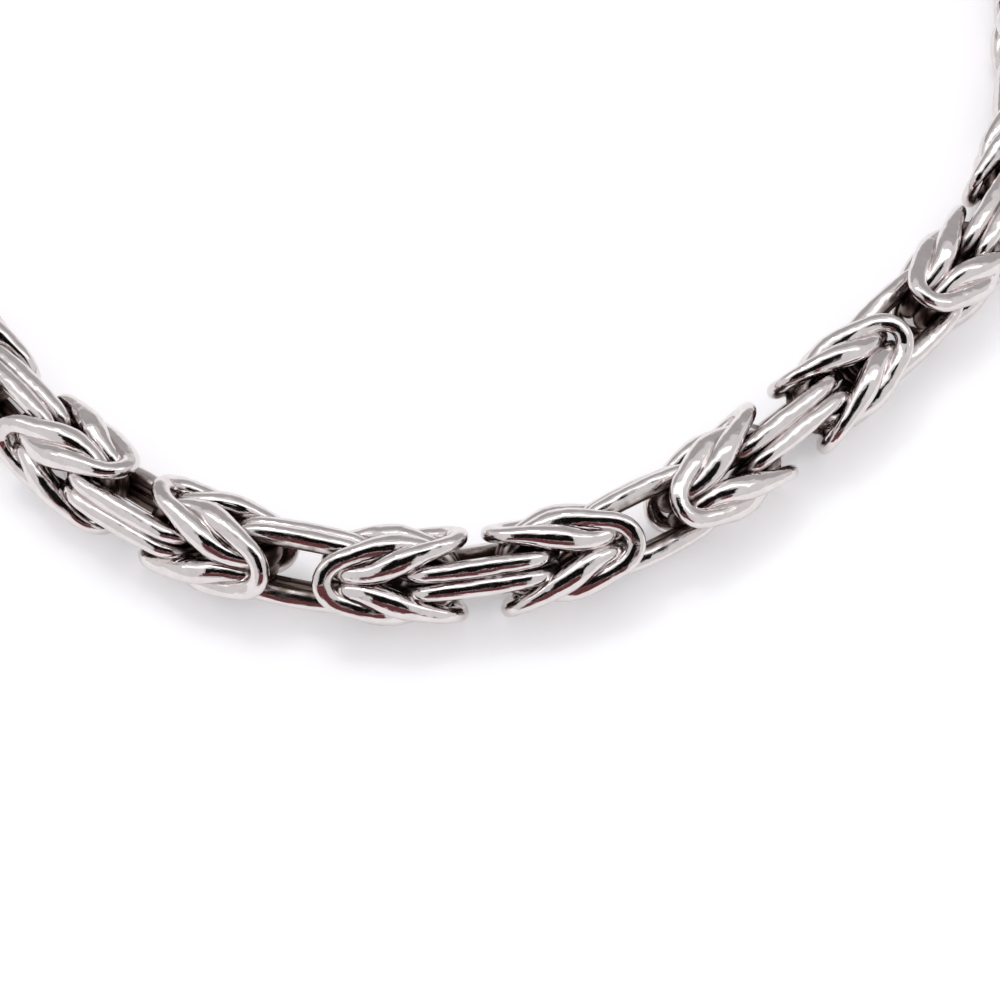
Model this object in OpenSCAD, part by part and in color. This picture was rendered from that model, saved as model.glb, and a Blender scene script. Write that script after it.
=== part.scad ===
// Byzantine chain necklace in polished silver, laid as one closed loop on a table.
// The chain is woven from pairs of oval wire links: a connector pair, then a knot of
// two more pairs folded over each other, then the next connector pair, and so on.
// The front of the loop lies towards -Y, the clasp towards +Y, and the table is z = 0.

/* [Wire] */
// Thickness of the round wire that every link is bent from
wire_d = 1.08; // [0.8:0.02:1.6]
// Clear space kept between wires that would touch on the real chain
wire_gap = 0.13; // [0.12:0.01:0.2]

/* [Chain] */
// Number of knots between the two end rings, taken as the odd number that it reaches
knots = 35; // [33:2:39]
// Length of chain over which it makes a quarter turn about itself
turn_length = 125; // [110:5:180]
// Place of the middle of that quarter turn, along the chain from the front
turn_middle = 0; // [-12:1:12]

/* [Laid loop] */
// Radius of the bend at the front of the loop
front_radius = 33; // [32:1:40]
// Angle that the front bend turns through on each side
front_turn = 41; // [38:1:44]
// Radius of the wider bend that follows it on each side
shoulder_radius = 120; // [100:5:140]
// Angle that the wider bend turns through on each side
shoulder_turn = 12; // [9:1:14]
// Radius of the tighter bend by which each side turns towards the back
corner_radius = 34; // [34:1:40]
// Angle that the tighter bend turns through on each side
corner_turn = 31; // [26:1:32]

/* [Clasp] */
// Thickness of the clasp's round frame
clasp_bar_d = 2; // [1.6:0.1:2.4]
// Length of the clasp's frame, between the middles of its bars
clasp_length = 12; // [10:0.5:16]
// Width of the clasp's frame, between the middles of its bars
clasp_width = 5; // [4.6:0.1:6]
// Thickness of the clasp's small eye
eye_bar_d = 1.4; // [1.1:0.1:1.6]
// Free play of an end ring inside the eye
eye_play = 1.2; // [0.9:0.1:1.6]
// Free play inside an end ring, beside the wires that it holds
ring_play = 0.9; // [0.8:0.1:1.4]
// Height by which the clasp hangs below the middle of the end rings
clasp_drop = 0.6; // [0.3:0.1:0.8]

/* [Hidden] */

// The knot in the middle of the front has as many knots on its left as on its right
knots_each_side = floor(knots / 2);
knot_count = 2 * knots_each_side + 1;

// Two touching wires lie one lane apart, and the weave is proportioned in lanes
lane = wire_d + wire_gap;
pitch = 9.92 * lane;
connector_length = 6.98 * lane;
connector_width = 3.48 * lane;
link_length = 7.11 * lane;
link_width = 3.53 * lane;
link_bend_at = 2.24 * lane;
link_bend_radius = 1.65 * lane;
link_spread = 19.5;
hook_at = 1.7 * lane;

// The bend of a knot link, laid along the link, and where its outer end comes to
bend_run = link_bend_radius * link_spread * PI / 180;
inner_run = link_bend_at - bend_run / 2 - link_width / 2;
outer_run = link_length - link_bend_at - bend_run / 2 - link_width / 2;
outer_from_bend = outer_run * sin(link_spread) + link_bend_radius * (1 - cos(link_spread));
shoulder_out = lane / 2 + outer_from_bend;

// End rings, and the clasp bars that they hold
ring_radius = (clasp_bar_d + wire_d + ring_play + wire_d) / 2;
ring_reach = sqrt(pow(ring_radius - lane, 2) - pow(lane / 2, 2));
clasp_seat = sqrt(pow(ring_radius - lane / 2 - wire_gap / 2 - clasp_bar_d / 2, 2) - pow(clasp_drop, 2));
eye_seat = sqrt(pow(ring_radius - lane / 2 - wire_gap / 2 - eye_bar_d / 2, 2) - pow(clasp_drop, 2));
eye_radius = (wire_d + eye_play + eye_bar_d) / 2;
clasp_span = eye_seat + 2 * eye_radius + clasp_length + clasp_seat;

// Half of the loop from the front to the middle of the clasp, and its straight back end
chain_half = knot_count * pitch / 2 + connector_length / 2;
ring_station = chain_half + ring_reach;
half_loop = ring_station + clasp_span / 2;
back_run = clasp_span / 2 + ring_reach + connector_length;

// The side and back bends close the loop: together they have the length that is left,
// and they bring it back to the middle
shoulder_end = front_turn + shoulder_turn;
corner_end = shoulder_end + corner_turn;
front_run = front_radius * front_turn * PI / 180;
shoulder_run = shoulder_radius * shoulder_turn * PI / 180;
corner_run = corner_radius * corner_turn * PI / 180;
bends_run = half_loop - front_run - shoulder_run - corner_run - back_run;
side_share = 1 - sin(corner_end);
half_before = front_radius * sin(front_turn)
    + shoulder_radius * (sin(shoulder_end) - sin(front_turn))
    + corner_radius * (sin(corner_end) - sin(shoulder_end));
side_radius = (bends_run - (half_before - back_run) * PI / 2)
    / ((90 - corner_end) * PI / 180 + side_share * PI / 2);
back_radius = half_before - back_run + side_radius * side_share;

// One row for each bend: radius, heading where it starts, station where it starts
RADIUS = 0;
HEADING = 1;
START = 2;
bends = [
    [front_radius, 0, 0],
    [shoulder_radius, front_turn, front_run],
    [corner_radius, shoulder_end, front_run + shoulder_run],
    [side_radius, corner_end, front_run + shoulder_run + corner_run],
    [back_radius, 90, half_loop - back_run - back_radius * PI / 2]
];
loop_depth = bend_end(4)[1];

// Place where bend i ends, with the front of the loop at the origin
function bend_end(i) = i < 0 ? [0, 0] : bend_end(i - 1) + bend_move(i, i < 4 ? bends[i + 1][HEADING] : 180);
// How far bend i carries the chain by the time that it heads in a given direction
function bend_move(i, heading) = bends[i][RADIUS]
    * [sin(heading) - sin(bends[i][HEADING]), cos(bends[i][HEADING]) - cos(heading)];
// The bend that a distance from the front falls in
function bend_at(s, i = 0) = i < 4 && s >= bends[i + 1][START] ? bend_at(s, i + 1) : i;
// Heading and place of the right half of the loop at a distance from the front
function bend_heading(s, i) = bends[i][HEADING] + (s - bends[i][START]) / bends[i][RADIUS] * 180 / PI;
function half_heading(s) = s > half_loop - back_run ? 180 : bend_heading(s, bend_at(s));
function half_place(s) = s > half_loop - back_run
    ? [half_loop - s, loop_depth]
    : bend_end(bend_at(s) - 1) + bend_move(bend_at(s), half_heading(s));

// The whole loop: distances are negative on the left half
function heading(s) = sign(s) * half_heading(abs(s));
function place(s) = [sign(s) * half_place(abs(s))[0], half_place(abs(s))[1] - loop_depth / 2];
// How far the chain has turned about itself, from 90 on the left to 0 on the right
function roll(s) = 90 * min(1, max(0, 0.5 - (s - turn_middle) / turn_length));
// Height of the chain's middle when it rests on the table, turned by a given angle
function rest(angle) = shoulder_out * cos(angle) + wire_d / 2
    + link_width / 2 * sqrt(pow(sin(link_spread) * cos(angle), 2) + pow(sin(angle), 2));

// Carries its children to a distance along the chain, with X along the chain
module on_chain(s) {
    translate([place(s)[0], place(s)[1], rest(min(roll(s), 90 - roll(s)))])
        rotate([0, 0, heading(s)])
            rotate([roll(s), 0, 0])
                children();
}

// The rounded end of a link, with its tip at the origin and opening towards +X
module nose(width) {
    translate([width / 2, 0, 0])
        rotate([0, 0, 90])
            rotate_extrude(angle = 180)
                translate([width / 2, 0])
                    circle(d = wire_d);
}

// The two long sides of a link, from X = 0 on
module sides(width, length) {
    for (side = [-1, 1])
        translate([0, side * width / 2, 0])
            rotate([0, 90, 0])
                cylinder(d = wire_d, h = length);
}

// A flat oval link, centred on the origin
module connector_link() {
    straight = connector_length - connector_width;
    translate([-straight / 2, 0, 0])
        sides(connector_width, straight);
    for (turned = [0, 180])
        rotate([0, 0, turned])
            translate([-connector_length / 2, 0, 0])
                nose(connector_width);
}

// The stretch of a knot link where both its sides bend outwards
module side_bends() {
    for (side = [-1, 1])
        translate([0, side * link_width / 2, link_bend_radius])
            rotate([90, 0, 0])
                rotate([0, 0, -90])
                    rotate_extrude(angle = link_spread)
                        translate([link_bend_radius, 0])
                            circle(d = wire_d);
}

// A knot link, with its inner end at the origin and its outer end spread upwards
module knot_link() {
    nose(link_width);
    translate([link_width / 2, 0, 0]) {
        sides(link_width, inner_run);
        translate([inner_run, 0, 0]) {
            side_bends();
            translate([link_bend_radius * sin(link_spread), 0, link_bend_radius * (1 - cos(link_spread))])
                rotate([0, -link_spread, 0]) {
                    sides(link_width, outer_run);
                    translate([outer_run + link_width / 2, 0, 0])
                        rotate([0, 0, 180])
                            nose(link_width);
                }
        }
    }
}

// Two links side by side, one lane apart, lying flat or standing
module link_pair(standing) {
    for (side = [0, 180])
        rotate([side + (standing ? 90 : 0), 0, 0])
            translate([0, 0, lane / 2])
                children();
}

// Connector pair number i, counted from the left end
module connector(i) {
    on_chain((i - knot_count / 2) * pitch)
        link_pair(i % 2 == 0)
            connector_link();
}

// Knot number i: one pair hooked into the connector on its left, one into that on its right
module knot(i) {
    left = (i - knot_count / 2) * pitch;
    reach = hook_at + link_length / 2;
    on_chain(left + reach)
        link_pair(i % 2 == 1)
            translate([-link_length / 2, 0, 0])
                knot_link();
    on_chain(left + pitch - reach)
        rotate([0, 0, 180])
            link_pair(i % 2 == 0)
                translate([-link_length / 2, 0, 0])
                    knot_link();
}

// A round ring, standing across the chain's last connector pair
module end_ring(side) {
    on_chain(side * ring_station)
        rotate([90 - roll(side * ring_station), 0, 0])
            rotate_extrude()
                translate([ring_radius, 0])
                    circle(d = wire_d);
}

module chain_left() {
    color("silver")
        for (i = [0 : knots_each_side]) {
            connector(i);
            knot(i);
        }
}

module chain_right() {
    color("gainsboro")
        for (i = [knots_each_side + 1 : knot_count]) {
            connector(i);
            if (i < knot_count)
                knot(i);
        }
}

module end_ring_left() {
    color("darkgray")
        end_ring(-1);
}

module end_ring_right() {
    color("darkgray")
        end_ring(1);
}

// The closed clasp as one plain piece: an oval frame with a small eye on its left end
module clasp() {
    straight = clasp_length - clasp_width;
    frame_left = -clasp_span / 2 + eye_seat + 2 * eye_radius;
    color("lightsteelblue")
        translate([0, loop_depth / 2, rest(0) - clasp_drop]) {
            translate([frame_left - eye_radius, 0, 0])
                rotate_extrude()
                    translate([eye_radius, 0])
                        circle(d = eye_bar_d);
            translate([frame_left + clasp_length / 2, 0, 0])
                for (turned = [0, 180])
                    rotate([0, 0, turned])
                        translate([straight / 2, 0, 0]) {
                            rotate([0, 0, -90])
                                rotate_extrude(angle = 180)
                                    translate([clasp_width / 2, 0])
                                        circle(d = clasp_bar_d);
                            translate([0, clasp_width / 2, 0])
                                rotate([0, -90, 0])
                                    cylinder(d = clasp_bar_d, h = straight);
                        }
        }
}

chain_left();
chain_right();
end_ring_left();
end_ring_right();
clasp();
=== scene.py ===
import math

import bpy
import numpy as np
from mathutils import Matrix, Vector


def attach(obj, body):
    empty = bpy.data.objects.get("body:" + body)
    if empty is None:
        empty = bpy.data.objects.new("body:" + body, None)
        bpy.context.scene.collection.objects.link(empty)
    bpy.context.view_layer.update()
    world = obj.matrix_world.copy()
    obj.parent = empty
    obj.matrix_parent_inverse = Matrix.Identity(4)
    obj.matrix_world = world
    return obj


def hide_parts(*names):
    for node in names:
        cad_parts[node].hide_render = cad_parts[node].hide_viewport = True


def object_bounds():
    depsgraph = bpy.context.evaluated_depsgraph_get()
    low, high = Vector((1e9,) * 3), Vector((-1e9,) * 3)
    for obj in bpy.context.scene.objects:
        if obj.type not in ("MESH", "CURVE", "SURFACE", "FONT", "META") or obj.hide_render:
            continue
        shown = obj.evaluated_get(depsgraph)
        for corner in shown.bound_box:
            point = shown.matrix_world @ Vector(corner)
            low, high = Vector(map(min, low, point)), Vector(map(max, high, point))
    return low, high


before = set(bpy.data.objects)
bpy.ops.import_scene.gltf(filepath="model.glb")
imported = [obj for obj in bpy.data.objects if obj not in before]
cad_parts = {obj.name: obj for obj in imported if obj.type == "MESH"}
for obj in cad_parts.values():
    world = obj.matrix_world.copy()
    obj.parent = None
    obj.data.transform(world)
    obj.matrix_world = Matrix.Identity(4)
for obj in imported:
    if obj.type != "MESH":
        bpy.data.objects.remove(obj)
cad_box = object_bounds()

# ---- Camera ----
# It looks down on the front of the chain from close by, so that seven knots fill the
# picture and both sides of the loop run out of it.
LOOP_DEPTH = 0.163728
CAMERA_HEIGHT_ANGLE = math.radians(60)
CAMERA_YAW = math.radians(2.6)
CAMERA_DISTANCE = 0.150
CAMERA_TARGET = Vector((0.0074, 0.0062 - LOOP_DEPTH / 2, 0.003))

camera = bpy.data.objects.new("camera", bpy.data.cameras.new("camera"))
bpy.context.scene.collection.objects.link(camera)
bpy.context.scene.camera = camera
towards_camera = Vector((
    math.sin(CAMERA_YAW) * math.cos(CAMERA_HEIGHT_ANGLE),
    -math.cos(CAMERA_YAW) * math.cos(CAMERA_HEIGHT_ANGLE),
    math.sin(CAMERA_HEIGHT_ANGLE),
))
camera.location = CAMERA_TARGET + towards_camera * CAMERA_DISTANCE
camera.rotation_euler = (-towards_camera).to_track_quat("-Z", "Y").to_euler()
camera.data.sensor_width = 36
camera.data.lens = 81
camera.data.clip_start = 0.005
bpy.context.scene.view_settings.view_transform = "Standard"


# ---- Links ----
# Two shapes of oval link, each bent from round silver wire and soldered shut: a flat
# connector link, and a knot link that spreads outwards past its bend. Rolling and polishing
# the finished chain has pressed the wire a little flat where it lies outside.
LANE = 0.00121
CONNECTOR_LENGTH = 6.98 * LANE
CONNECTOR_REACH_INTO_KNOT = 0.00055
CONNECTOR_WIDTH = 3.60 * LANE
CONNECTOR_END_RADIUS = 1.66 * LANE
KNOT_LINK_LENGTH = 7.11 * LANE
KNOT_LINK_WIDTH = 3.53 * LANE
KNOT_LINK_MIDDLE_WIDTH = 3.75 * LANE
KNOT_LINK_END_RADIUS = 1.56 * LANE
KNOT_LINK_NARROWING = 0.34
KNOT_LINK_BEND_AT = 2.24 * LANE
KNOT_LINK_BEND_RUN = 0.0018
KNOT_LINK_SPREAD = math.radians(19.5)
KNOT_LINK_BOW = 0.00020
POINTS_AROUND_WIRE = 16
POINTS_ALONG_END = 12
POINTS_ALONG_SIDE = 11
SQUARENESS = 2.15

WIRE_RADIUS = 0.00065
SWELL = 0.00023
SWELL_INSIDE_CONNECTOR = 0.00022
PRESSED = 0.00006
PRESSED_AT_TIP = 0.00015
THINNER_AT_CONNECTOR_END = 0.00013
SWELL_STARTS, SWELL_ENDS = 0.12, 0.82
TIP_STARTS, TIP_ENDS = 0.75, 0.95
NARROWS_BEFORE_MIDDLE = 0.1


def oval_path(length, width, end_radius, narrowing):
    """Points and outward directions along a flat oval of four arcs, which may narrow at its far end."""
    end_at = length / 2 - end_radius
    side_radius = (end_at**2 + width**2 / 4 - end_radius**2) / (width - 2 * end_radius)
    side_turn = math.asin(end_at / (side_radius - end_radius))
    turn = np.linspace(side_turn - math.pi / 2, math.pi / 2 - side_turn, POINTS_ALONG_END + 1)
    end = np.stack([end_at + end_radius * np.cos(turn), end_radius * np.sin(turn)], axis=1)
    turn = np.linspace(side_turn, -side_turn, POINTS_ALONG_SIDE + 1)[1:-1]
    side = np.stack([side_radius * np.sin(turn), width / 2 - side_radius * (1 - np.cos(turn))], axis=1)
    path = np.concatenate([end, side, -end, -side])
    path[:, 1] *= 1 - narrowing * np.clip(path[:, 0] / length + NARROWS_BEFORE_MIDDLE, 0, 1)
    ahead = np.roll(path, -1, axis=0) - np.roll(path, 1, axis=0)
    ahead /= np.linalg.norm(ahead, axis=1, keepdims=True)
    return path, np.stack([ahead[:, 1], -ahead[:, 0]], axis=1)


def link_mesh(name, length, path_and_outwards, thickness, bend):
    """A closed wire link: thickness gives the wire's four half sizes, bend moves the flat link's points."""
    path, outwards = path_and_outwards
    around = np.linspace(0, 2 * math.pi, POINTS_AROUND_WIRE, endpoint=False)
    outer, inner, upper, lower = thickness((path[:, 0] / length + 0.5)[:, None])
    across = np.sign(np.cos(around)) * np.abs(np.cos(around)) ** (2 / SQUARENESS)
    above = np.sign(np.sin(around)) * np.abs(np.sin(around)) ** (2 / SQUARENESS)
    places = np.empty((len(path), POINTS_AROUND_WIRE, 3))
    sideways = across * np.where(across > 0, outer, inner)
    places[..., :2] = path[:, None] + outwards[:, None] * sideways[..., None]
    places[..., 2] = above * np.where(above > 0, upper, lower)
    places = bend(places)

    mesh = bpy.data.meshes.new(name)
    rings, spots = len(path), POINTS_AROUND_WIRE
    faces = [
        (
            ring * spots + spot,
            (ring + 1) % rings * spots + spot,
            (ring + 1) % rings * spots + (spot + 1) % spots,
            ring * spots + (spot + 1) % spots,
        )
        for ring in range(rings)
        for spot in range(spots)
    ]
    mesh.from_pydata(places.reshape(-1, 3).tolist(), [], faces)
    wire_length = np.linalg.norm(np.roll(path, -1, axis=0) - path, axis=1).sum()
    along_wire = mesh.uv_layers.new(name="along_wire")
    for face in mesh.polygons:
        ring, spot = divmod(face.index, spots)
        for corner, (further, higher) in zip(face.loop_indices, ((0, 0), (1, 0), (1, 1), (0, 1))):
            along_wire.data[corner].uv = (
                (ring + further) / rings * wire_length / WIRE_RADIUS,
                (spot + higher) / spots * math.tau,
            )
    mesh.polygons.foreach_set("use_smooth", [True] * len(faces))
    return mesh


def stay_flat(places):
    return places


def spread_past_bend(places):
    """Bends a flat link upwards from its bend on, as on the inner end at the origin."""
    along = places[..., 0] + KNOT_LINK_LENGTH / 2
    start = KNOT_LINK_BEND_AT - KNOT_LINK_BEND_RUN / 2
    radius = KNOT_LINK_BEND_RUN / KNOT_LINK_SPREAD
    turned = np.clip((along - start) / radius, 0, KNOT_LINK_SPREAD)
    past = np.maximum(along - start - KNOT_LINK_BEND_RUN, 0)
    before = np.minimum(along, start)
    arm = radius - places[..., 2]
    bent = places.copy()
    past_share = np.clip((along - start) / (KNOT_LINK_LENGTH - start), 0, 1)
    bowed = KNOT_LINK_BOW * np.sin(np.pi * past_share)
    bent[..., 0] = before + arm * np.sin(turned) + past * np.cos(turned) - KNOT_LINK_LENGTH / 2
    bent[..., 2] = radius - arm * np.cos(turned) + past * np.sin(turned) + bowed
    return bent


def connector_thickness(share):
    """Outward, inward, upper and lower half sizes of a connector's wire, along shares of its length.

    The wire is full inside the link, pressed outside, and thinner towards both ends.
    """
    swell = np.sin(np.pi * np.clip(share, 0, 1))
    outer = np.full(share.shape, WIRE_RADIUS) - PRESSED * swell
    level = WIRE_RADIUS - THINNER_AT_CONNECTOR_END * (1 - swell)
    return outer, WIRE_RADIUS + SWELL_INSIDE_CONNECTOR * swell, level, level


def knot_link_thickness(share):
    """The same for a knot link: full along its arms, plain where it is hooked, pressed at its outer tip."""
    along_arms = np.clip((share - SWELL_STARTS) / (SWELL_ENDS - SWELL_STARTS), 0, 1)
    swell = np.sin(np.pi * along_arms) ** 2
    tip = np.clip((share - TIP_STARTS) / (TIP_ENDS - TIP_STARTS), 0, 1)
    full = WIRE_RADIUS + SWELL * swell
    return full, full, full - PRESSED_AT_TIP * tip, full - PRESSED * tip


long_connector = CONNECTOR_LENGTH + 2 * CONNECTOR_REACH_INTO_KNOT
connector_link = bpy.data.objects.new(
    "connector_link",
    link_mesh(
        "connector_link", long_connector,
        oval_path(long_connector, CONNECTOR_WIDTH, CONNECTOR_END_RADIUS, 0.0),
        connector_thickness, stay_flat,
    ),
)
knot_link = bpy.data.objects.new(
    "knot_link",
    link_mesh(
        "knot_link", KNOT_LINK_LENGTH,
        oval_path(KNOT_LINK_LENGTH, KNOT_LINK_MIDDLE_WIDTH, KNOT_LINK_END_RADIUS, KNOT_LINK_NARROWING),
        knot_link_thickness, spread_past_bend,
    ),
)


# ---- The way the chain lies ----
# The chain is laid on the table in one loop: a tight bend at the front, then a shoulder, a
# tighter corner, a side and a back bend on each side, and a straight stretch with the clasp.
# It turns a quarter about itself in front, and its height changes with that turn.
KNOTS = 35
KNOT_SPACING = 9.92 * LANE
HOOK_REACH = 1.7 * LANE + KNOT_LINK_LENGTH / 2
QUARTER_TURN_OVER = 0.125
FRONT_RADIUS, FRONT_TURN = 0.033, math.radians(41)
SHOULDER_RADIUS, SHOULDER_TURN = 0.120, math.radians(12)
CORNER_RADIUS, CORNER_TURN = 0.034, math.radians(31)
END_RING_REACH = 0.0011732
CLASP_SPAN = 0.0172889
PATH_STEP = 0.0005
CAD_WIRE_RADIUS = 0.00054
CAD_BEND_RADIUS = 1.65 * LANE

half_loop = KNOTS * KNOT_SPACING / 2 + CONNECTOR_LENGTH / 2 + END_RING_REACH + CLASP_SPAN / 2
back_run = CLASP_SPAN / 2 + END_RING_REACH + CONNECTOR_LENGTH
shoulder_end = FRONT_TURN + SHOULDER_TURN
corner_end = shoulder_end + CORNER_TURN
side_turn = math.pi / 2 - corner_end
side_share = 1 - math.sin(corner_end)
half_width_before = (
    FRONT_RADIUS * math.sin(FRONT_TURN)
    + SHOULDER_RADIUS * (math.sin(shoulder_end) - math.sin(FRONT_TURN))
    + CORNER_RADIUS * (math.sin(corner_end) - math.sin(shoulder_end))
)
bends_run = (
    half_loop - back_run
    - FRONT_RADIUS * FRONT_TURN - SHOULDER_RADIUS * SHOULDER_TURN - CORNER_RADIUS * CORNER_TURN
)
side_radius = (bends_run - (half_width_before - back_run) * math.pi / 2) / (
    side_turn + side_share * math.pi / 2
)
back_radius = half_width_before - back_run + side_radius * side_share
half_bends = (
    (FRONT_RADIUS, FRONT_TURN),
    (SHOULDER_RADIUS, SHOULDER_TURN),
    (CORNER_RADIUS, CORNER_TURN),
    (side_radius, side_turn),
    (back_radius, math.pi / 2),
)


def half_place(distance):
    """Place on the right half of the loop at a distance from its front, with the front at the origin."""
    across, back, heading, left_over = 0.0, 0.0, 0.0, distance
    for radius, turn in half_bends:
        end = heading + min(turn, left_over / radius)
        across += radius * (math.sin(end) - math.sin(heading))
        back += radius * (math.cos(heading) - math.cos(end))
        left_over -= radius * (end - heading)
        heading = end
    return across - left_over, back


def chain_roll(distance):
    return math.pi / 2 * min(1, max(0, 0.5 - distance / QUARTER_TURN_OVER))


def resting_height(roll):
    """Height of the chain's middle over the table when its knots rest on it at that roll."""
    lean = min(roll, math.pi / 2 - roll)
    bend_run = CAD_BEND_RADIUS * KNOT_LINK_SPREAD
    outer_run = KNOT_LINK_LENGTH - KNOT_LINK_BEND_AT - bend_run / 2 - KNOT_LINK_WIDTH / 2
    spread_out = outer_run * math.sin(KNOT_LINK_SPREAD) + CAD_BEND_RADIUS * (1 - math.cos(KNOT_LINK_SPREAD))
    nose = math.hypot(math.sin(KNOT_LINK_SPREAD) * math.cos(lean), math.sin(lean))
    return (LANE / 2 + spread_out) * math.cos(lean) + CAD_WIRE_RADIUS + KNOT_LINK_WIDTH / 2 * nose


def chain_place(distance):
    across, back = half_place(abs(distance))
    return math.copysign(across, distance), back - LOOP_DEPTH / 2, resting_height(chain_roll(distance))


def chain_path(name):
    """The chain's middle line as a curve, from the clasp round the left side and the front to the clasp."""
    steps = round(2 * half_loop / PATH_STEP)
    curve = bpy.data.curves.new(name, "CURVE")
    curve.dimensions = "3D"
    line = curve.splines.new("POLY")
    line.points.add(steps)
    for step, point in enumerate(line.points):
        point.co = (*chain_place((2 * step / steps - 1) * half_loop), 1)
    path = bpy.data.objects.new(name, curve)
    bpy.context.scene.collection.objects.link(path)
    return path


# ---- Silver of the chain ----
# Polished sterling silver: near white on the outside, with the fine marks of drawing the
# wire and of wear. Deep between the links it turns brown, partly tarnish and partly painted shade.
SILVER_WHITE = (0.85, 0.797, 0.785, 1)
TARNISH_AND_SHADE_BROWN = (0.13, 0.09, 0.075, 1)
SILVER_GREY = (0.62, 0.576, 0.565, 1)
BLOTCHES_PER_METRE = 1100.0
SMEARS_PER_METRE = 1500.0
SMOOTHEST, ROUGHEST = 0.05, 0.15
TARNISH_ROUGHER = 0.22
TARNISH_AND_SHADE_STARTS, TARNISH_AND_SHADE_FULL = 0.72, 1.15
RIPPLES_PER_METRE, RIPPLE_HEIGHT = 340.0, 0.00036
PITS_PER_METRE, PIT_DEPTH = 8000.0, 0.000012
DRAWN_LINES_ALONG_AND_AROUND = (0.5, 8.0, 1.0)
DRAWN_LINE_DEPTH = 0.000018


def add_node(tree, kind, links=None, **settings):
    """A node with its settings, whose inputs are values or other nodes' sockets."""
    made = tree.nodes.new(kind)
    for setting, value in settings.items():
        setattr(made, setting, value)
    for socket, value in (links or {}).items():
        if isinstance(value, bpy.types.NodeSocket):
            tree.links.new(value, made.inputs[socket])
        else:
            made.inputs[socket].default_value = value
    return made


def polished_silver(name, tarnish_and_shade_from_depth):
    """Polished silver. Where tarnish_and_shade_from_depth is set, the piece's depth attribute places brown
    tarnish and painted shade.
    """
    silver = bpy.data.materials.new(name)
    silver.use_nodes = True
    tree = silver.node_tree
    tree.nodes.clear()
    place = add_node(tree, "ShaderNodeTexCoord").outputs["Object"]

    blotches = add_node(
        tree, "ShaderNodeTexNoise", {"Vector": place, "Scale": BLOTCHES_PER_METRE, "Detail": 4.0}
    )
    clean = add_node(
        tree, "ShaderNodeMix",
        {"Factor": blotches.outputs["Fac"], 6: SILVER_GREY, 7: SILVER_WHITE},
        data_type="RGBA",
    ).outputs[2]
    # Browner towards the inside of the chain: partly tarnish, partly painted shade where the links hide each
    # other.
    if tarnish_and_shade_from_depth:
        depth = add_node(tree, "ShaderNodeAttribute", attribute_name="depth").outputs["Fac"]
        ragged = add_node(
            tree, "ShaderNodeMath", {0: blotches.outputs["Fac"], 1: 0.5, 2: depth},
            operation="MULTIPLY_ADD",
        )
        tarnish_and_shade = add_node(
            tree, "ShaderNodeMapRange",
            {
                "Value": ragged.outputs[0],
                "From Min": TARNISH_AND_SHADE_STARTS, "From Max": TARNISH_AND_SHADE_FULL, "To Min": 0.0, "To Max": 1.0,
            },
            interpolation_type="SMOOTHSTEP",
        ).outputs["Result"]
        colour = add_node(
            tree, "ShaderNodeMix", {"Factor": tarnish_and_shade, 6: clean, 7: TARNISH_AND_SHADE_BROWN}, data_type="RGBA"
        ).outputs[2]
    else:
        tarnish_and_shade = None
        colour = clean

    smears = add_node(tree, "ShaderNodeTexNoise", {"Vector": place, "Scale": SMEARS_PER_METRE, "Detail": 4.0})
    polish = add_node(
        tree, "ShaderNodeMapRange",
        {
            "Value": smears.outputs["Fac"],
            "From Min": 0.3, "From Max": 0.7, "To Min": SMOOTHEST, "To Max": ROUGHEST,
        },
    ).outputs["Result"]
    if tarnish_and_shade is not None:
        polish = add_node(
            tree, "ShaderNodeMath", {0: tarnish_and_shade, 1: TARNISH_ROUGHER, 2: polish}, operation="MULTIPLY_ADD"
        ).outputs[0]

    ripples = add_node(
        tree, "ShaderNodeTexNoise", {"Vector": place, "Scale": RIPPLES_PER_METRE, "Detail": 2.0}
    )
    rippled = add_node(
        tree, "ShaderNodeBump",
        {"Height": ripples.outputs["Fac"], "Strength": 0.8, "Distance": RIPPLE_HEIGHT},
    )
    pits = add_node(tree, "ShaderNodeTexNoise", {"Vector": place, "Scale": PITS_PER_METRE, "Detail": 1.0})
    worn = add_node(
        tree, "ShaderNodeBump",
        {
            "Height": pits.outputs["Fac"],
            "Strength": 0.28, "Distance": PIT_DEPTH, "Normal": rippled.outputs[0],
        },
    )
    if tarnish_and_shade_from_depth:
        wire = add_node(tree, "ShaderNodeUVMap", uv_map="along_wire").outputs[0]
        stretched = add_node(
            tree, "ShaderNodeMapping", {"Vector": wire, "Scale": DRAWN_LINES_ALONG_AND_AROUND}
        )
        drawing = add_node(
            tree, "ShaderNodeTexNoise", {"Vector": stretched.outputs[0], "Scale": 1.0, "Detail": 1.0}
        )
        worn = add_node(
            tree, "ShaderNodeBump",
            {
                "Height": drawing.outputs["Fac"],
                "Strength": 0.45, "Distance": DRAWN_LINE_DEPTH, "Normal": worn.outputs[0],
            },
        )

    shader = add_node(
        tree, "ShaderNodeBsdfPrincipled",
        {"Base Color": colour, "Roughness": polish, "Metallic": 1.0, "Normal": worn.outputs[0]},
    )
    add_node(tree, "ShaderNodeOutputMaterial", {"Surface": shader.outputs[0]})
    return silver


chain_silver = polished_silver("chain_silver", tarnish_and_shade_from_depth=True)


# ---- The woven chain ----
# Pairs of silver links hooked into each other by hand and then pressed square: a connector
# pair, a knot of two pairs folded over each other, then the next connector pair. Connectors
# lie flat and stand on edge in turn. In front the left side is pushed up to its neighbour.
LOOSE_TILT = math.radians(0.9)
LOOSE_SHIFT = 0.00002
PUSHED_TOGETHER = 0.00065
MIDDLE_KNOT_END, NEXT_KNOT_START = 0.001, 0.011
EASES_FROM, EASES_TO = -0.060, -0.200
DENT_SIZE = 0.00005
DEPTH_INSIDE, DEPTH_OUTSIDE = 0.0014, 0.0033

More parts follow.
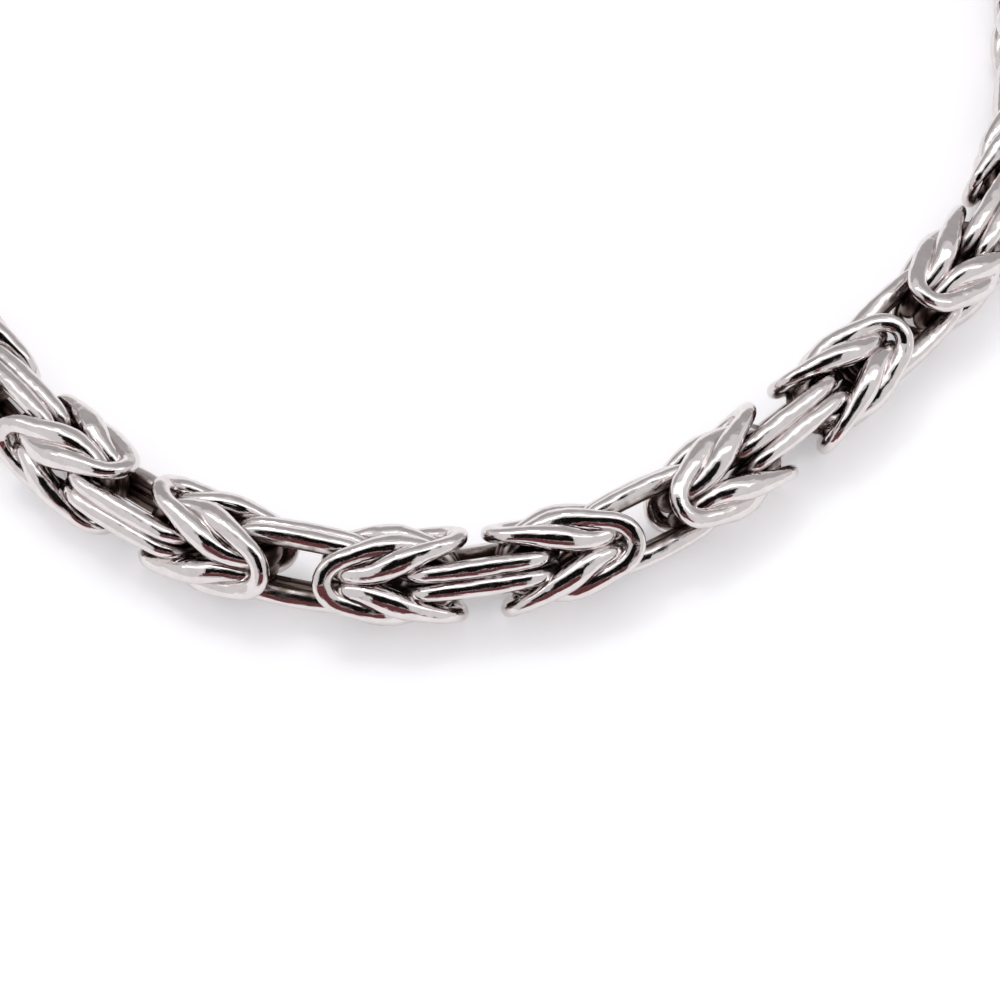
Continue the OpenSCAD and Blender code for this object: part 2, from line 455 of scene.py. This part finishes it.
weave = bpy.data.node_groups.new("byzantine_weave", "GeometryNodeTree")
weave_inputs = {}
for label, kind in (
    ("Path", "NodeSocketGeometry"),
    ("Connector link", "NodeSocketObject"),
    ("Knot link", "NodeSocketObject"),
    ("Silver", "NodeSocketMaterial"),
    ("First pair", "NodeSocketInt"),
    ("Connector pairs", "NodeSocketInt"),
    ("Knots", "NodeSocketInt"),
    ("Knots in the chain", "NodeSocketInt"),
    ("Knot spacing", "NodeSocketFloat"),
    ("Hook reach", "NodeSocketFloat"),
    ("Lane", "NodeSocketFloat"),
    ("Quarter turn over", "NodeSocketFloat"),
    ("Looseness", "NodeSocketFloat"),
    ("Table height", "NodeSocketFloat"),
    ("Top height", "NodeSocketFloat"),
    ("Seed", "NodeSocketInt"),
):
    weave_inputs[label] = weave.interface.new_socket(name=label, in_out="INPUT", socket_type=kind)
weave.interface.new_socket(name="Chain", in_out="OUTPUT", socket_type="NodeSocketGeometry")
given = weave.nodes.new("NodeGroupInput").outputs


def worked_out(operation, first, second=0.0, third=0.0):
    return add_node(weave, "ShaderNodeMath", {0: first, 1: second, 2: third}, operation=operation).outputs[0]


def share_between(value, none_at, all_at):
    """0 where the value is none_at, 1 where it is all_at, and even between them."""
    return add_node(
        weave, "ShaderNodeMapRange",
        {"Value": value, "From Min": none_at, "From Max": all_at, "To Min": 0.0, "To Max": 1.0},
    ).outputs["Result"]


def xyz(x=0.0, y=0.0, z=0.0):
    return add_node(weave, "ShaderNodeCombineXYZ", {0: x, 1: y, 2: z}).outputs[0]


def turned_in_place(rotation, turn):
    by = add_node(weave, "FunctionNodeEulerToRotation", {0: turn}).outputs[0]
    return add_node(
        weave, "FunctionNodeRotateRotation", {"Rotation": rotation, "Rotate By": by}, rotation_space="LOCAL"
    ).outputs[0]


def pair_of(link):
    """Two links side by side, one lane apart, as one thing to place."""
    shape = add_node(weave, "GeometryNodeObjectInfo", {"Object": link}).outputs["Geometry"]
    apart = worked_out("DIVIDE", given["Lane"], 2.0)
    upper = add_node(weave, "GeometryNodeTransform", {"Geometry": shape, "Translation": xyz(z=apart)})
    lower = add_node(
        weave, "GeometryNodeTransform", {"Geometry": upper.outputs[0], "Rotation": (math.pi, 0.0, 0.0)}
    )
    both = add_node(weave, "GeometryNodeJoinGeometry")
    weave.links.new(upper.outputs[0], both.inputs[0])
    weave.links.new(lower.outputs[0], both.inputs[0])
    return both.outputs[0]


def pushed_together(distance):
    """Distance from the front once the left side is pushed up, which eases out towards the clasp."""
    left_of_next_knot = share_between(distance, NEXT_KNOT_START, MIDDLE_KNOT_END)
    near_front = share_between(distance, EASES_TO, EASES_FROM)
    share = worked_out("MULTIPLY", left_of_next_knot, near_front)
    return worked_out("MULTIPLY_ADD", share, PUSHED_TOGETHER, distance)


def pairs_along_chain(pair, count, reach, standing_when, facing_back):
    """Places a pair once per knot, reach further along than its connector pair.

    It stands on edge where its number is odd or even, as standing_when says.
    """
    points = add_node(weave, "GeometryNodePoints", {"Count": count}).outputs[0]
    index = add_node(weave, "GeometryNodeInputIndex").outputs[0]
    number = worked_out("ADD", index, given["First pair"])
    from_front = worked_out("SUBTRACT", number, worked_out("DIVIDE", given["Knots in the chain"], 2.0))
    distance = pushed_together(worked_out("MULTIPLY_ADD", from_front, given["Knot spacing"], reach))
    whole_path = add_node(weave, "GeometryNodeCurveLength", {"Curve": given["Path"]}).outputs[0]
    sampled = add_node(
        weave, "GeometryNodeSampleCurve",
        {"Curves": given["Path"], "Length": worked_out("MULTIPLY_ADD", whole_path, 0.5, distance)},
        mode="LENGTH",
    )
    level = add_node(
        weave, "ShaderNodeVectorMath",
        {0: sampled.outputs["Tangent"], 1: (1.0, 1.0, 0.0)}, operation="MULTIPLY",
    ).outputs[0]
    rotation = add_node(
        weave, "FunctionNodeAxesToRotation",
        {"Primary Axis": level, "Secondary Axis": (0.0, 0.0, 1.0)},
        primary_axis="X", secondary_axis="Z",
    ).outputs[0]
    turned_share = worked_out("SUBTRACT", 0.5, worked_out("DIVIDE", distance, given["Quarter turn over"]))
    clamped = add_node(weave, "ShaderNodeClamp", {"Value": turned_share, "Min": 0.0, "Max": 1.0}).outputs[0]
    rotation = turned_in_place(rotation, xyz(x=worked_out("MULTIPLY", clamped, math.pi / 2)))
    if facing_back:
        rotation = turned_in_place(rotation, xyz(z=math.pi))
    odd = worked_out("MODULO", worked_out("ADD", number, float(standing_when == "even")), 2.0)
    rotation = turned_in_place(rotation, xyz(x=worked_out("MULTIPLY", odd, math.pi / 2)))
    loose = add_node(
        weave, "FunctionNodeRandomValue",
        {0: (-1.0, -1.0, -1.0), 1: (1.0, 1.0, 1.0), "ID": number, "Seed": given["Seed"]},
        data_type="FLOAT_VECTOR",
    ).outputs[0]
    tilt = add_node(
        weave, "ShaderNodeVectorMath",
        {0: loose, "Scale": worked_out("MULTIPLY", given["Looseness"], LOOSE_TILT)}, operation="SCALE",
    ).outputs[0]
    shift = add_node(
        weave, "ShaderNodeVectorMath",
        {0: loose, "Scale": worked_out("MULTIPLY", given["Looseness"], LOOSE_SHIFT)}, operation="SCALE",
    ).outputs[0]
    place = add_node(
        weave, "ShaderNodeVectorMath", {0: sampled.outputs["Position"], 1: shift}, operation="ADD"
    ).outputs[0]
    moved = add_node(weave, "GeometryNodeSetPosition", {"Geometry": points, "Position": place}).outputs[0]
    return add_node(
        weave, "GeometryNodeInstanceOnPoints",
        {"Points": moved, "Instance": pair, "Rotation": turned_in_place(rotation, tilt)},
    ).outputs[0]


connector_pair = pair_of(given["Connector link"])
knot_pair = pair_of(given["Knot link"])
spacing_less_reach = worked_out("SUBTRACT", given["Knot spacing"], given["Hook reach"])
rows = (
    pairs_along_chain(connector_pair, given["Connector pairs"], 0.0, "even", False),
    pairs_along_chain(knot_pair, given["Knots"], given["Hook reach"], "odd", False),
    pairs_along_chain(knot_pair, given["Knots"], spacing_less_reach, "even", True),
)
woven = add_node(weave, "GeometryNodeJoinGeometry")
for row in rows:
    weave.links.new(row, woven.inputs[0])
separate_links = add_node(weave, "GeometryNodeRealizeInstances", {"Geometry": woven.outputs[0]}).outputs[0]
# Depth: 1 near the chain's middle line and 0 at its outside. It places the brown tarnish and painted shade in
# the silver.
middle_line = add_node(weave, "GeometryNodeCurveToMesh", {"Curve": given["Path"]}).outputs[0]
from_middle = add_node(
    weave, "GeometryNodeProximity", {"Geometry": middle_line}, target_element="EDGES"
).outputs["Distance"]
depth = share_between(from_middle, DEPTH_OUTSIDE, DEPTH_INSIDE)
marked = add_node(
    weave, "GeometryNodeStoreNamedAttribute",
    {"Geometry": separate_links, "Name": "depth", "Value": depth},
    data_type="FLOAT", domain="POINT",
).outputs[0]
dents = add_node(weave, "ShaderNodeTexNoise", {"Scale": 700.0, "Detail": 1.0}).outputs["Fac"]
dent = worked_out("MULTIPLY", worked_out("SUBTRACT", dents, 0.5), DENT_SIZE)
dented = add_node(
    weave, "GeometryNodeSetPosition",
    {
        "Geometry": marked,
        "Offset": add_node(
            weave, "ShaderNodeVectorMath",
            {0: add_node(weave, "GeometryNodeInputNormal").outputs[0], "Scale": dent}, operation="SCALE",
        ).outputs[0],
    },
).outputs[0]
at = add_node(
    weave, "ShaderNodeSeparateXYZ", {0: add_node(weave, "GeometryNodeInputPosition").outputs[0]}
).outputs
level_height = add_node(
    weave, "ShaderNodeClamp", {"Value": at[2], "Min": given["Table height"], "Max": given["Top height"]}
).outputs[0]
resting = add_node(
    weave, "GeometryNodeSetPosition", {"Geometry": dented, "Position": xyz(at[0], at[1], level_height)}
).outputs[0]
in_silver = add_node(
    weave, "GeometryNodeSetMaterial", {"Geometry": resting, "Material": given["Silver"]}
).outputs[0]
add_node(weave, "NodeGroupOutput", {"Chain": in_silver})


def weave_chain(name, first_pair, connector_pairs, knots, node, seed):
    """Weaves one side of the chain as a plain mesh that stands for its CAD node."""
    path = chain_path(name + "_path")
    modifier = path.modifiers.new("weave", "NODES")
    modifier.node_group = weave
    for label, value in (
        ("Connector link", connector_link),
        ("Knot link", knot_link),
        ("Silver", chain_silver),
        ("First pair", first_pair),
        ("Connector pairs", connector_pairs),
        ("Knots", knots),
        ("Knots in the chain", KNOTS),
        ("Knot spacing", KNOT_SPACING),
        ("Hook reach", HOOK_REACH),
        ("Lane", LANE),
        ("Quarter turn over", QUARTER_TURN_OVER),
        ("Looseness", 1.0),
        ("Table height", cad_box[0].z),
        ("Top height", cad_box[1].z),
        ("Seed", seed),
    ):
        modifier[weave_inputs[label].identifier] = value
    ready = path.evaluated_get(bpy.context.evaluated_depsgraph_get())
    mesh = bpy.data.meshes.new_from_object(ready)
    mesh.name = name
    bpy.data.objects.remove(path)
    side = bpy.data.objects.new(name, mesh)
    bpy.context.scene.collection.objects.link(side)
    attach(side, "root")
    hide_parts(node)
    return side


pairs_on_left = (KNOTS + 1) // 2
knots_on_right = KNOTS - pairs_on_left
weave_chain("chain_left_links", 0, pairs_on_left, pairs_on_left, "chain_left", seed=11)
weave_chain("chain_right_links", pairs_on_left, pairs_on_left, knots_on_right, "chain_right", seed=12)


# ---- End rings and clasp ----
# Round silver rings stand across the last connector pairs and hold the closed clasp, an
# oval frame with a small eye. They are cast and polished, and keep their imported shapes.
fitting_silver = polished_silver("fitting_silver", tarnish_and_shade_from_depth=False)
for fitting in ("end_ring_left", "end_ring_right", "clasp"):
    worn_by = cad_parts[fitting].data
    worn_by.materials.clear()
    worn_by.materials.append(fitting_silver)


# ---- Table ----
# A smooth matt white sheet that the chain lies on. It is lit a little from below, so that
# the shadow on it stays pale.
TABLE_HALF = 1.5
table_mesh = bpy.data.meshes.new("table")
table_mesh.from_pydata(
    [(x * TABLE_HALF, y * TABLE_HALF, 0) for x, y in ((-1, -1), (1, -1), (1, 1), (-1, 1))],
    [], [(0, 1, 2, 3)],
)
table = bpy.data.objects.new("table", table_mesh)
bpy.context.scene.collection.objects.link(table)
table_white = bpy.data.materials.new("table_white")
table_white.use_nodes = True
table_shader = table_white.node_tree.nodes["Principled BSDF"]
table_shader.inputs["Base Color"].default_value = (0.93, 0.925, 0.935, 1)
table_shader.inputs["Roughness"].default_value = 0.6
table_shader.inputs["Specular IOR Level"].default_value = 0.2
table_shader.inputs["Emission Color"].default_value = (0.985, 0.97, 1.0, 1)
table_shader.inputs["Emission Strength"].default_value = 0.22
table_mesh.materials.append(table_white)


# ---- Light ----
# A soft window behind the chain lights the table. Cards stand round the chain and show only
# in its polish: a black and a maroon one by the camera give each bar its dark streak, and a
# grey one and a bright strip give it its top. The cards stay out of the picture.
CHAIN_FRONT = Vector((0.0, -0.07, 0.0))


def face_chain(board, place):
    board.location = place
    board.rotation_euler = (CHAIN_FRONT - Vector(place)).to_track_quat("-Z", "Y").to_euler()
    board.visible_camera = False
    bpy.context.scene.collection.objects.link(board)


def light_board(name, place, size, strength):
    """A lamp that is as bright as strength over its whole size."""
    lamp = bpy.data.lights.new(name, "AREA")
    lamp.shape = "RECTANGLE"
    lamp.size, lamp.size_y = size
    lamp.energy = strength * size[0] * size[1] * math.pi
    board = bpy.data.objects.new(name, lamp)
    face_chain(board, place)
    return board


def card_board(name, place, size, colour):
    """A glowing card that only polished metal shows."""
    half_x, half_y = size[0] / 2, size[1] / 2
    mesh = bpy.data.meshes.new(name)
    mesh.from_pydata(
        [(-half_x, -half_y, 0), (half_x, -half_y, 0), (half_x, half_y, 0), (-half_x, half_y, 0)],
        [], [(0, 1, 2, 3)],
    )
    board = bpy.data.objects.new(name, mesh)
    face_chain(board, place)
    card = bpy.data.materials.new(name)
    card.use_nodes = True
    card.node_tree.nodes.clear()
    glow = add_node(card.node_tree, "ShaderNodeEmission", {"Color": colour, "Strength": 1.0})
    add_node(card.node_tree, "ShaderNodeOutputMaterial", {"Surface": glow.outputs[0]})
    mesh.materials.append(card)
    board.visible_diffuse = False
    board.visible_shadow = False


window = light_board("window", (-0.10, 0.38, 0.86), (0.60, 0.46), strength=1.9)
window.visible_glossy = False
light_board("small_lamp", (-0.22, 0.22, 0.75), (0.09, 0.06), strength=14.0)
card_board("dark_board", (0.02, -0.326, 0.427), (0.54, 0.42), (0.006, 0.005, 0.005, 1))
card_board("brown_board", (0.0, -0.526, 0.153), (0.56, 0.28), (0.15, 0.05, 0.055, 1))
card_board("bright_strip", (0.0, 0.044, 0.589), (1.6, 0.19), (1.9, 1.9, 1.95, 1))
card_board("grey_board", (0.0, 0.62, 0.36), (2.4, 0.62), (0.47, 0.462, 0.468, 1))

surroundings = bpy.data.worlds.new("surroundings")
bpy.context.scene.world = surroundings
surroundings.use_nodes = True
surroundings.node_tree.nodes["Background"].inputs["Color"].default_value = (0.985, 0.985, 1.0, 1)
surroundings.node_tree.nodes["Background"].inputs["Strength"].default_value = 0.82
